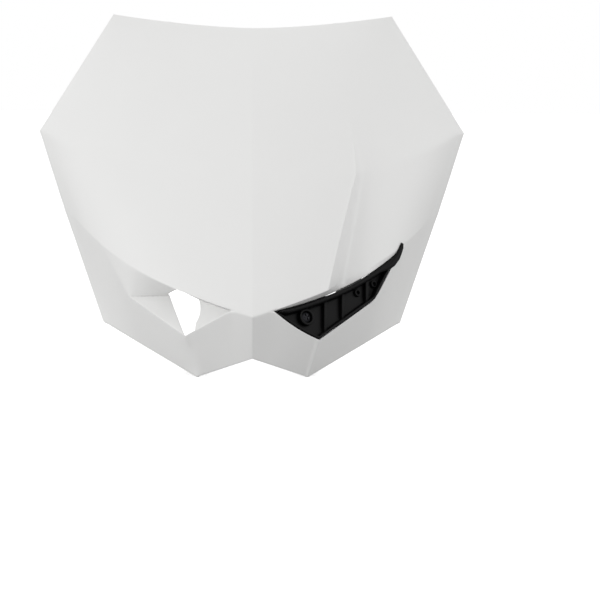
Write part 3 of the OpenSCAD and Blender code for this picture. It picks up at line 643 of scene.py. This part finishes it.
def shell_sheet(form):
    """Front surface of the shell as a grid whose points are moved to the form, with the eye holes deleted."""
    columns = [-k for k in reversed(COLUMNS) if k > 0] + COLUMNS
    bm = bmesh.new()
    bmesh.ops.create_grid(bm, x_segments=len(columns) - 1, y_segments=len(ROWS) - 1, size=0.5)
    cols, rows = len(columns) - 1, len(ROWS) - 1
    spots = {}
    for v in bm.verts:
        spots[v] = columns[round((v.co.x + 0.5) * cols)], ROWS[round((v.co.y + 0.5) * rows)]
    holes = []
    for f in bm.faces:
        k = sum(spots[v][0] for v in f.verts) / 4
        r = sum(spots[v][1] for v in f.verts) / 4
        if form.open_cell(-1 if k < 0 else 1, math.ceil(abs(k)), math.floor(r)):
            holes.append(f)
    for v, (k, r) in spots.items():
        if R_SIDE - 1 < r < R_SIDE + 1:
            r = R_SIDE + (r - R_SIDE) * lookup(abs(k), [(K_EDGE - 2, 4), (K_EDGE, 1)])
        elif k < 0 and r in (5.8, 10.12):
            r += lookup(-k, [(K_CREASE, 0), (K_LID, 0.25), (K_TIP - 1, 0.3), (K_TIP + 1, 0)]) * (1 if r > 6 else -2)
        if 0 < abs(abs(k) - K_CREASE) < 0.5:
            smooth_from = CREASE_TOP if k > 0 else R_BROW
            spread = lookup(r, [(smooth_from, 1), (smooth_from + 3, 2.5)])
            k = math.copysign(K_CREASE + (abs(k) - K_CREASE) * spread, k)
        v.co = form.point(-1 if k < 0 else 1, abs(k), r)
    bmesh.ops.delete(bm, geom=holes, context="FACES")
    bmesh.ops.remove_doubles(bm, verts=bm.verts, dist=2e-6)
    bmesh.ops.dissolve_degenerate(bm, edges=bm.edges, dist=2e-6)
    bmesh.ops.recalc_face_normals(bm, faces=bm.faces)
    middle = min(bm.faces, key=lambda f: (f.calc_center_median() - form.place((0, 0.12, 0.07))).length)
    if middle.normal.y > 0:
        bmesh.ops.reverse_faces(bm, faces=bm.faces)
    return bm


class MASK_OT_shell(bpy.types.Operator):
    """Build the white moulded shell"""
    bl_idname = "mask.shell"
    bl_label = "Shell"

    def execute(self, context):
        form = Form(context.scene.mask_form)
        look = materials()
        piece = finish_piece(
            "shell", shell_sheet(form),
            [look["white_polypropylene_satin"], look["white_polypropylene_matt"]], 180,
            [("SOLIDIFY", {"thickness": form.wall, "offset": -1, "use_even_offset": True,
                           "use_quality_normals": True, "thickness_clamp": 1.0, "material_offset": 1}),
             subdivision(2)])
        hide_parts("mask_shell")
        return {"FINISHED"}


# ---------------------------------------------------------------- fittings on the back of the shell


def wall_middle(form, c, r):
    """Point in the middle of the wall behind a grid point of the shell, with c counted over both sides."""
    side, k, step = (-1 if c < 0 else 1), abs(c), 0.5
    across = form.point(side, min(k + step, K_EDGE), r) - form.point(side, max(k - step, 0), r)
    up = form.point(side, k, min(r + step, R_TOP)) - form.point(side, k, max(r - step, 0))
    normal = across.cross(up).normalized()
    if normal.y > 0:
        normal.negate()
    return form.point(side, k, r) - normal * form.wall / 2


def rib(bm, form, cells, stop, across, width):
    """Rib from the middle of the wall along some grid points to a plane, given as its y and its slope."""
    part = bmesh.new()
    verts = [part.verts.new(wall_middle(form, c, r) - across / 2) for c, r in cells]
    edges = [part.edges.new(pair) for pair in zip(verts, verts[1:])]
    out = bmesh.ops.extrude_edge_only(part, edges=edges)
    for v in [g for g in out["geom"] if isinstance(g, bmesh.types.BMVert)]:
        v.co.y = stop[0] + stop[1] * v.co.z
    out = bmesh.ops.extrude_face_region(part, geom=part.faces[:])
    bmesh.ops.translate(part, vec=across, verts=[g for g in out["geom"] if isinstance(g, bmesh.types.BMVert)])
    bmesh.ops.recalc_face_normals(part, faces=part.faces)
    soften(part, width, 2, 60)
    join(bm, part)


def fork_stop(form, ahead):
    return -ahead - form.y_mid, form.tan


def on_fork(form, x, z, ahead):
    return Matrix.Translation(form.place((x, z, ahead))) @ Matrix.Rotation(-form.rake, 4, "X")


def mirrored(side):
    return Matrix.Scale(side, 4, Vector((1, 0, 0)))


class MASK_OT_pegs(bpy.types.Operator):
    """Build the two locating pegs behind the chin with their crossed ribs"""
    bl_idname = "mask.pegs"
    bl_label = "Locating pegs"

    def execute(self, context):
        form, back = Form(context.scene.mask_form), context.scene.mask_back
        bm = bmesh.new()
        for side in (-1, 1):
            c = side * K_CREASE
            at = form.place((side * (form.chin_x + form.eye_low_x) / 2, form.eye_low_z / 2, back.peg_flange_ahead))
            stop = at.y - back.peg_flange_t / 2, 0
            rib(bm, form, [(c, r) for r in range(R_LID)], stop, Vector((back.rib_w, 0, 0)), 0.5 * MM)
            rib(bm, form, [(c + i, R_PEG) for i in range(-3, 4)], stop, Vector((0, 0, back.rib_w)), 0.5 * MM)
            peg = bmesh.new()
            r, flange, t = back.peg_d / 2, back.peg_flange_d / 2, back.peg_flange_t
            turned(peg, [(0, -back.peg_root), (r, -back.peg_root), (r, -t), (flange, -t), (flange, 0), (r, 0),
                         (r, back.peg_len - 1.5 * MM), (r - 1.5 * MM, back.peg_len), (0, back.peg_len)],
                   width=0.35 * MM)
            join(bm, peg, Matrix.Translation(at) @ Matrix.Rotation(-math.pi / 2, 4, "X"))
        finish_piece("locating_pegs", bm, [materials()["white_polypropylene_matt"]])
        return {"FINISHED"}


class MASK_OT_hooks(bpy.types.Operator):
    """Build the two hooks that take the closed loops of the fork straps"""
    bl_idname = "mask.hooks"
    bl_label = "Strap hooks"

    def execute(self, context):
        form, back = Form(context.scene.mask_form), context.scene.mask_back
        bm = bmesh.new()
        for side in (-1, 1):
            for r in (21, 22):
                rib(bm, form, [(side * (9 + i), r) for i in range(3)], fork_stop(form, back.hook_ahead),
                    Vector((0, 0, back.rib_w)), 0.5 * MM)
        low, high = form.point(1, 9, 21), form.point(1, 11, 22)
        low_l, high_l = form.point(-1, 9, 21), form.point(-1, 11, 22)
        for side, a, b in ((1, low, high), (-1, low_l, high_l)):
            width = abs(b.x) - abs(a.x) + back.hook_reach
            run = (b.z - a.z + 2 * back.rib_w) / math.cos(form.rake)
            plate = bmesh.new()
            lip, t = back.hook_lip, back.plate_t
            slab(plate, [(0, -lip), (t, -lip), (t, 0), (width, 0), (width, t), (0, t)], 0, run, 0.7 * MM)
            join(bm, plate, mirrored(side)
                 @ on_fork(form, abs(a.x) - back.hook_reach, a.z - back.rib_w, back.hook_ahead + 0.2 * MM))
        finish_piece("strap_hooks", bm, [materials()["white_polypropylene_matt"]])
        return {"FINISHED"}


class MASK_OT_brackets(bpy.types.Operator):
    """Build the two brackets whose slots take the spools of the fork straps"""
    bl_idname = "mask.brackets"
    bl_label = "Strap brackets"

    def execute(self, context):
        form, back = Form(context.scene.mask_form), context.scene.mask_back
        bm = bmesh.new()
        for side in (-1, 1):
            for r in (17, 20):
                rib(bm, form, [(side * (19 + i), r) for i in range(5)], fork_stop(form, back.slot_ahead),
                    Vector((0, 0, back.rib_w)), 0.5 * MM)
            a, b = form.point(side, 19, 17), form.point(side, 23, 20)
            width = abs(b.x) - abs(a.x)
            run = (b.z - a.z + 2 * back.rib_w) / math.cos(form.rake)
            r, mid = back.slot_w / 2, run / 2
            arc = [(width / 2 - r * math.sin(t), mid + r * math.cos(t))
                   for t in (math.pi * i / 16 for i in range(17))]
            outline = [(0, 0), (width, 0), (width, mid - r)] + arc[::-1] + [(width, mid + r), (width, run), (0, run)]
            plate = bmesh.new()
            slab(plate, outline, 0, back.plate_t, 0.6 * MM)
            upright = Matrix(((1, 0, 0, 0), (0, 0, 1, 0), (0, 1, 0, 0), (0, 0, 0, 1)))
            join(bm, plate, mirrored(side)
                 @ on_fork(form, abs(a.x), a.z - back.rib_w, back.slot_ahead + 0.2 * MM) @ upright)
        finish_piece("strap_brackets", bm, [materials()["white_polypropylene_matt"]])
        return {"FINISHED"}


def eye_patch(form, x0, x1, grow, steps=12):
    """Outline of the part of the right eye between two x values, in its own plane and grown outwards."""
    brow, low = [], []
    for i in range(steps + 1):
        x = mix(x0, x1, i / steps)
        bottom, top = form.eye_span(x)
        up = (top - bottom).normalized()
        brow.append(top + up * grow / form.squareness(x, 1))
        low.append(bottom - up * grow / form.squareness(x, 0))
    return brow + low[::-1]


class MASK_OT_seats(bpy.types.Operator):
    """Build the insert's seats in the right eye: one with the screw's pillar, one with the snap leg's window"""
    bl_idname = "mask.seats"
    bl_label = "Insert seats"

    def execute(self, context):
        scene = context.scene
        form, tray, back = Form(scene.mask_form), scene.mask_insert, scene.mask_back
        top = -tray.depth - tray.seat_gap
        bite = 0.6 * form.wall
        bm = bmesh.new()
        slab(bm, eye_patch(form, form.eye_inner_x + tray.blunt, tray.screw_x + tray.pillar_d / 2, bite),
             top - back.rib_w, top, 0.3 * MM)
        at = form.eye_middle(tray.screw_x, 0.5)
        pillar = bmesh.new()
        turned(pillar, [(tray.screw_d / 2 + 0.1 * MM, top - tray.pillar_len), (tray.pillar_d / 2, top - tray.pillar_len),
                        (tray.pillar_d / 2 + 0.3 * MM, top - 0.2 * MM), (tray.screw_d / 2 + 0.1 * MM, top - 0.2 * MM),
                        (tray.screw_d / 2 + 0.1 * MM, top - tray.pillar_len)], width=0.3 * MM)
        join(bm, pillar, Matrix.Translation(at))
        slab(bm, eye_patch(form, tray.leg_x - tray.leg_w, tray.leg_x + tray.leg_w, bite), top - back.rib_w, top,
             0.3 * MM)
        bmesh.ops.transform(bm, matrix=form.eye_matrix(), verts=bm.verts)
        piece = finish_piece("insert_seats", bm, [materials()["white_polypropylene_matt"]])
        tool = bmesh.new()
        spot = form.eye_middle(tray.leg_x, 0.45)
        block(tool, (spot.x - 1.5 * MM, spot.y - 4.5 * MM, top - back.rib_w - MM),
              (spot.x + 2.3 * MM, spot.y + 4.5 * MM, top + MM))
        turned_hole = bmesh.new()
        turned(turned_hole, [(0, top - tray.pillar_len - MM), (tray.screw_d / 2 + 0.1 * MM, top - tray.pillar_len - MM),
                             (tray.screw_d / 2 + 0.1 * MM, top + MM), (0, top + MM)])
        join(tool, turned_hole, Matrix.Translation(at))
        bmesh.ops.transform(tool, matrix=form.eye_matrix(), verts=tool.verts)
        cut(piece, loose_object(tool))
        return {"FINISHED"}


class MASK_OT_web(bpy.types.Operator):
    """Build the web behind the open eye, which frames part of a round lamp opening"""
    bl_idname = "mask.web"
    bl_label = "Eye web"

    def execute(self, context):
        form, back = Form(context.scene.mask_form), context.scene.mask_back
        low = 0.2 * MM - form.flange_depth
        def flat(p):
            return form.flat_eye(form.place((-p[0], p[1], p[2])))
        brow = [flat(form.brow(-1, k)) + Vector((0, 0.6 * form.wall, 0)) for k in range(K_INNER, K_WEB + 1)]
        lower = [flat(form.lid(-1, k)) + Vector((0, back.web_lid_gap, 0)) for k in range(K_CREASE, K_INNER, -1)]
        bm = bmesh.new()
        slab(bm, brow + lower, low, low + back.rib_w)
        matrix = form.eye_matrix(-1)
        bmesh.ops.transform(bm, matrix=matrix, verts=bm.verts)
        bmesh.ops.reverse_faces(bm, faces=bm.faces)
        piece = finish_piece("eye_web", bm, [materials()["white_polypropylene_matt"]])
        tool = bmesh.new()
        turned(tool, [(0, low - MM), (back.lamp_r, low - MM), (back.lamp_r, low + back.rib_w + MM),
                      (0, low + back.rib_w + MM)], segments=96)
        bmesh.ops.transform(tool, matrix=matrix @ Matrix.Translation(form.eye_at(back.lamp_x, back.lamp_z)),
                            verts=tool.verts)
        bmesh.ops.reverse_faces(tool, faces=tool.faces)
        cut(piece, loose_object(tool))
        return {"FINISHED"}


def loose_object(bm):
    """Object made only to be cut out of a piece."""
    mesh = bpy.data.meshes.new("tool")
    bm.to_mesh(mesh)
    bm.free()
    tool = bpy.data.objects.new("tool", mesh)
    bpy.context.scene.collection.objects.link(tool)
    return tool


# ---------------------------------------------------------------- the eye insert and its screw


class MASK_OT_insert(bpy.types.Operator):
    """Build the black ribbed insert of the right eye"""
    bl_idname = "mask.insert"
    bl_label = "Eye insert"

    def execute(self, context):
        form, tray = Form(context.scene.mask_form), context.scene.mask_insert
        look = materials()["black_polypropylene_grained"]
        piece = finish_piece("eye_insert_tray", self.tray(form, tray), [look], 180, [subdivision(2)])
        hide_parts("eye_insert")
        finish_piece("eye_insert_ribs", self.ribs(form, tray), [look])
        return {"FINISHED"}

    def tray(self, form, tray):
        """A ring of profile points at each of a row of upright lines across the eye, closed at both ends."""
        x0, x1 = form.eye_inner_x + tray.blunt, form.eye_tip_x - tray.blunt
        fine = 0.3 * MM
        floor = tray.wall - tray.depth
        corners = [form.eye_low_x, form.lid_x]
        xs = sorted({x0, x0 + 0.4 * MM, x1 - 0.4 * MM, x1} | {c + d * MM for c in corners for d in (-0.7, 0, 0.7)}
                    | {x * MM for x in range(19, 95, 3) if all(abs(x * MM - c) > 1.5 * MM for c in corners)})
        bm = bmesh.new()
        bmesh.ops.create_grid(bm, x_segments=len(xs) - 1, y_segments=16, size=0.5)
        for v in bm.verts:
            x = xs[round((v.co.x + 0.5) * (len(xs) - 1))]
            i = round((v.co.y + 0.5) * 16) % 16
            low, top = form.eye_span(x)
            up = (top - low).normalized()
            room = (top - low).length
            at_lid, at_brow = form.squareness(x, 0), form.squareness(x, 1)
            low += up * min(tray.gap / at_lid, 0.2 * room)
            top -= up * min(tray.gap / at_brow, 0.2 * room)
            room = (top - low).length
            wall = min(tray.wall / at_lid, 0.36 * room)
            lip = min(tray.lip_w / at_brow, 0.5 * room)
            f = min(fine, 0.2 * wall)
            over = 0.8 * tray.gap / at_brow + 0.6 * MM * lookup(x / MM, [(29, 0), (34, 1), (45, 1), (49, 0)])
            deep = clamp((room - 4 * MM) / (4 * MM))
            inner = mix(-1.2 * MM, floor, deep)
            proud = tray.lip_proud
            ring = [(0, -tray.depth + f), (0, -f), (f, 0), (wall - f, 0), (wall, -f), (wall, inner + f),
                    (wall + f, inner), (room - lip - f, inner), (room - lip, inner + f),
                    (room - lip, 0.1 * proud), (room - 0.75 * lip, 0.85 * proud), (room - 0.25 * lip, 0.9 * proud),
                    (room + over, 0.3 * proud), (room, -tray.depth + f), (room - f, -tray.depth), (f, -tray.depth)]
            s, z = ring[i]
            p = low + up * s
            v.co = (p.x, p.y, z)
        bmesh.ops.remove_doubles(bm, verts=bm.verts, dist=1e-6)
        bmesh.ops.holes_fill(bm, edges=[e for e in bm.edges if e.is_boundary], sides=0)
        bmesh.ops.recalc_face_normals(bm, faces=bm.faces)
        bmesh.ops.transform(bm, matrix=form.eye_matrix(), verts=bm.verts)
        return bm

    def horn(self, bm, form, tray):
        """Blunt end of the lip, which hooks up over the outer tip of the eye."""
        path = [(86, -8, 1.3), (91, -8.4, 1.7), (96, -8.5, 2.1), (100.6, -7.8, 2.3), (106.5, -5.6, 2.1),
                (110, -3.3, 1.9), (113.4, -0.9, 1.6), (115.4, 1.1, 1)]
        part = bmesh.new()
        rings = []
        for i, (across, up, half) in enumerate(path):
            ring = bmesh.ops.create_circle(part, segments=12, radius=1.0)["verts"]
            lift = mix(0.1, 0.6, i / (len(path) - 1)) * tray.lip_proud
            for v in ring:
                v.co = Vector((across - 0.53 * half * v.co.x, up + 0.85 * half * v.co.x, 0)) * MM + Vector(
                    (0, 0, lift + 0.6 * half * MM * v.co.y))
            rings.append([e for e in part.edges if all(v in ring for v in e.verts)])
        bmesh.ops.bridge_loops(part, edges=[e for ring in rings for e in ring])
        bmesh.ops.holes_fill(part, edges=[e for e in part.edges if e.is_boundary], sides=0)
        bmesh.ops.recalc_face_normals(part, faces=part.faces)
        soften(part, 0.5 * MM, 2, 60)
        join(bm, part)

    def ribs(self, form, tray):
        """Cross ribs, raised frames, screw ring, small rings, lip end and snap leg, on the tray's floor."""
        floor = tray.wall - tray.depth
        bm = bmesh.new()
        rib_x = [47.5 * MM, 59 * MM, 75 * MM]
        bite = tray.gap + tray.wall / 2
        for x in rib_x:
            slab(bm, eye_patch(form, x - tray.rib_w / 2, x + tray.rib_w / 2, -bite, 1), floor - 0.4 * MM,
                 floor + tray.rib_h, 0.35 * MM)
        for a, b in zip(rib_x, rib_x[1:]):
            self.frame(bm, form, tray, a + 1.5 * MM, b - 1.5 * MM, floor)
        head = tray.head_d / 2
        self.ring(bm, form.eye_middle(tray.screw_x, 0.5), head + 1.8 * MM, head + 0.3 * MM, floor,
                  tray.head_h + 0.6 * MM)
        for x, s in ((69.5 * MM, 0.5), (80.5 * MM, 0.4)):
            self.ring(bm, form.eye_middle(x, s), 2.4 * MM, 1.2 * MM, floor, 1.6 * MM)
        self.horn(bm, form, tray)
        at = form.eye_middle(tray.leg_x, 0.45)
        leg = [(0, 0), (0, -4.4 * MM), (1.6 * MM, -4.4 * MM), (2.8 * MM, -3.2 * MM), (2 * MM, -3 * MM), (2 * MM, 0)]
        part = bmesh.new()
        slab(part, leg, -tray.leg_w / 2, tray.leg_w / 2, 0.2 * MM)
        turn = Matrix(((1, 0, 0, -MM), (0, 0, 1, 0), (0, 1, 0, 0.2 * MM - tray.depth), (0, 0, 0, 1)))
        join(bm, part, Matrix.Translation(at) @ turn)
        bmesh.ops.transform(bm, matrix=form.eye_matrix(), verts=bm.verts)
        return bm

    def frame(self, bm, form, tray, x0, x1, floor):
        """Raised four-sided frame, made by insetting a patch of the floor and raising its border."""
        part = bmesh.new()
        outline = eye_patch(form, x0, x1, -tray.gap - 3.4 * MM, 1)
        face = part.faces.new([part.verts.new((p.x, p.y, floor - 0.2 * MM)) for p in outline])
        border = bmesh.ops.inset_region(part, faces=[face], thickness=1.0 * MM, use_even_offset=True)["faces"]
        out = bmesh.ops.extrude_face_region(part, geom=border)
        bmesh.ops.translate(part, vec=(0, 0, 1.6 * MM),
                            verts=[v for v in out["geom"] if isinstance(v, bmesh.types.BMVert)])
        bmesh.ops.delete(part, geom=[f for f in part.faces if f == face], context="FACES_ONLY")
        bmesh.ops.recalc_face_normals(part, faces=part.faces)
        soften(part, 0.25 * MM, 2)
        join(bm, part)

    def ring(self, bm, at, outer, inner, floor, height):
        """Small moulded ring with rounded edges."""
        part = bmesh.new()
        turned(part, [(inner, floor - 0.2 * MM), (outer + 0.2 * MM, floor - 0.2 * MM), (outer, floor + height),
                      (inner, floor + height), (inner, floor - 0.2 * MM)], 40, 0.3 * MM)
        join(bm, part, Matrix.Translation(at))


class MASK_OT_screw(bpy.types.Operator):
    """Build the insert's screw with its domed head, cross recess and thread"""
    bl_idname = "mask.screw"
    bl_label = "Screw"

    def execute(self, context):
        form, tray = Form(context.scene.mask_form), context.scene.mask_insert
        head, r, pitch = tray.head_d / 2, tray.screw_d / 2, 1.3 * MM
        profile = [(0, -tray.screw_len), (0.3 * MM, -tray.screw_len)]
        z = -tray.screw_len + 1.2 * MM
        while z < -1.6 * MM:
            profile += [(r * 0.76, z), (r, z + 0.35 * pitch), (r, z + 0.45 * pitch), (r * 0.76, z + 0.8 * pitch)]
            z += pitch
        profile += [(r * 0.85, -0.6 * MM), (r * 0.85, 0), (head, 0), (head, 0.7 * MM), (0.93 * head, 1.35 * MM),
                    (0.7 * head, 1.9 * MM), (0.35 * head, tray.head_h), (0, tray.head_h)]
        bm = bmesh.new()
        turned(bm, profile, 40)
        matrix = form.eye_matrix() @ Matrix.Translation(
            form.eye_middle(tray.screw_x, 0.5) + Vector((0, 0, tray.wall - tray.depth)))
        bmesh.ops.transform(bm, matrix=matrix, verts=bm.verts)
        piece = finish_piece("insert_screw_detailed", bm, [materials()["black_oxide_steel"]], 40)
        for turn in (0, math.pi / 2):
            arm, tool = bmesh.new(), bmesh.new()
            block(arm, (-2.3 * MM, -0.45 * MM, tray.head_h - 1.3 * MM), (2.3 * MM, 0.45 * MM, tray.head_h + MM))
            join(tool, arm, matrix @ Matrix.Rotation(turn, 4, "Z"))
            cut(piece, loose_object(tool))
        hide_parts("insert_screw")
        return {"FINISHED"}


# ---------------------------------------------------------------- the studio


class MASK_OT_stage(bpy.types.Operator):
    """Build the floor, the backdrop, the soft lights and the camera"""
    bl_idname = "mask.stage"
    bl_label = "Studio"

    def execute(self, context):
        scene = context.scene
        bm = bmesh.new()
        bmesh.ops.create_grid(bm, x_segments=1, y_segments=1, size=60)
        mesh = bpy.data.meshes.new("floor")
        bm.to_mesh(mesh)
        bm.free()
        mesh.materials.append(materials()["studio_white_paint"])
        floor = bpy.data.objects.new("floor", mesh)
        scene.collection.objects.link(floor)
        self.world(scene)
        self.lamp("key_light", (-1.8, -1.0, 0.35), 1.5, 17)
        self.lamp("fill_light", (1.7, -0.4, 1.0), 1.5, 7)
        self.lamp("back_light", (0.3, 1.5, 1.3), 1.4, 4)
        self.camera(scene)
        return {"FINISHED"}

    def world(self, scene):
        world = bpy.data.worlds.new("studio_world")
        world.use_nodes = True
        tree = world.node_tree
        tree.nodes.clear()
        ray = node(tree, "ShaderNodeLightPath").outputs
        power = node(tree, "ShaderNodeMapRange", Value=ray["Is Camera Ray"], To_Min=0.74, To_Max=1.0).outputs[0]
        sky = node(tree, "ShaderNodeBackground", Color=(1, 1, 1, 1), Strength=power)
        node(tree, "ShaderNodeOutputWorld", Surface=sky.outputs[0])
        scene.world = world
        scene.view_settings.view_transform = "Standard"

    def lamp(self, name, place, size, watts):
        light = bpy.data.lights.new(name, "AREA")
        light.shape, light.size, light.energy = "DISK", size, watts
        lamp = bpy.data.objects.new(name, light)
        lamp.location = place
        lamp.rotation_euler = (Vector((0, 0, 0.12)) - Vector(place)).to_track_quat("-Z", "Y").to_euler()
        bpy.context.scene.collection.objects.link(lamp)

    def camera(self, scene):
        lift, yaw, roll, away = math.radians(6), math.radians(-1.67), math.radians(0.37), 1.2
        target = Vector((31.4, -1.16, 43.0)) * MM
        back = Vector((math.sin(yaw) * math.cos(lift), -math.cos(yaw) * math.cos(lift), math.sin(lift)))
        right = Vector((math.cos(yaw), math.sin(yaw), 0))
        up = back.cross(right)
        turn = Matrix((right, up, back)).transposed() @ Matrix.Rotation(roll, 3, "Z")
        lens = bpy.data.cameras.new("camera")
        lens.sensor_width, lens.lens = 36, 36 * 1826.5 / 600
        eye = bpy.data.objects.new("camera", lens)
        eye.matrix_world = Matrix.Translation(target + back * away) @ turn.to_4x4()
        scene.collection.objects.link(eye)
        scene.camera = eye


# ---------------------------------------------------------------- panel and registration


class MASK_PT_panel(bpy.types.Panel):
    """Lists the mask's operators"""
    bl_idname = "MASK_PT_panel"
    bl_label = "Headlight Mask"
    bl_space_type = "VIEW_3D"
    bl_region_type = "UI"
    bl_category = "Mask"

    def draw(self, context):
        for operator in OPERATORS:
            self.layout.operator(operator.bl_idname)


OPERATORS = (MASK_OT_shell, MASK_OT_pegs, MASK_OT_hooks, MASK_OT_brackets, MASK_OT_seats, MASK_OT_web,
             MASK_OT_insert, MASK_OT_screw, MASK_OT_stage)
GROUPS = {"mask_form": MaskForm, "mask_insert": MaskInsert, "mask_back": MaskBack, "mask_finish": MaskFinish}


def register():
    for cls in (*GROUPS.values(), *OPERATORS, MASK_PT_panel):
        bpy.utils.register_class(cls)
    for name, group in GROUPS.items():
        setattr(bpy.types.Scene, name, PointerProperty(type=group))


def unregister():
    for name in GROUPS:
        delattr(bpy.types.Scene, name)
    for cls in reversed((*GROUPS.values(), *OPERATORS, MASK_PT_panel)):
        bpy.utils.unregister_class(cls)


def main():
    register()
    for operator in OPERATORS:
        group, name = operator.bl_idname.split(".")
        getattr(getattr(bpy.ops, group), name)()
    bpy.context.view_layer.update()


if __name__ == "__main__":
    main()
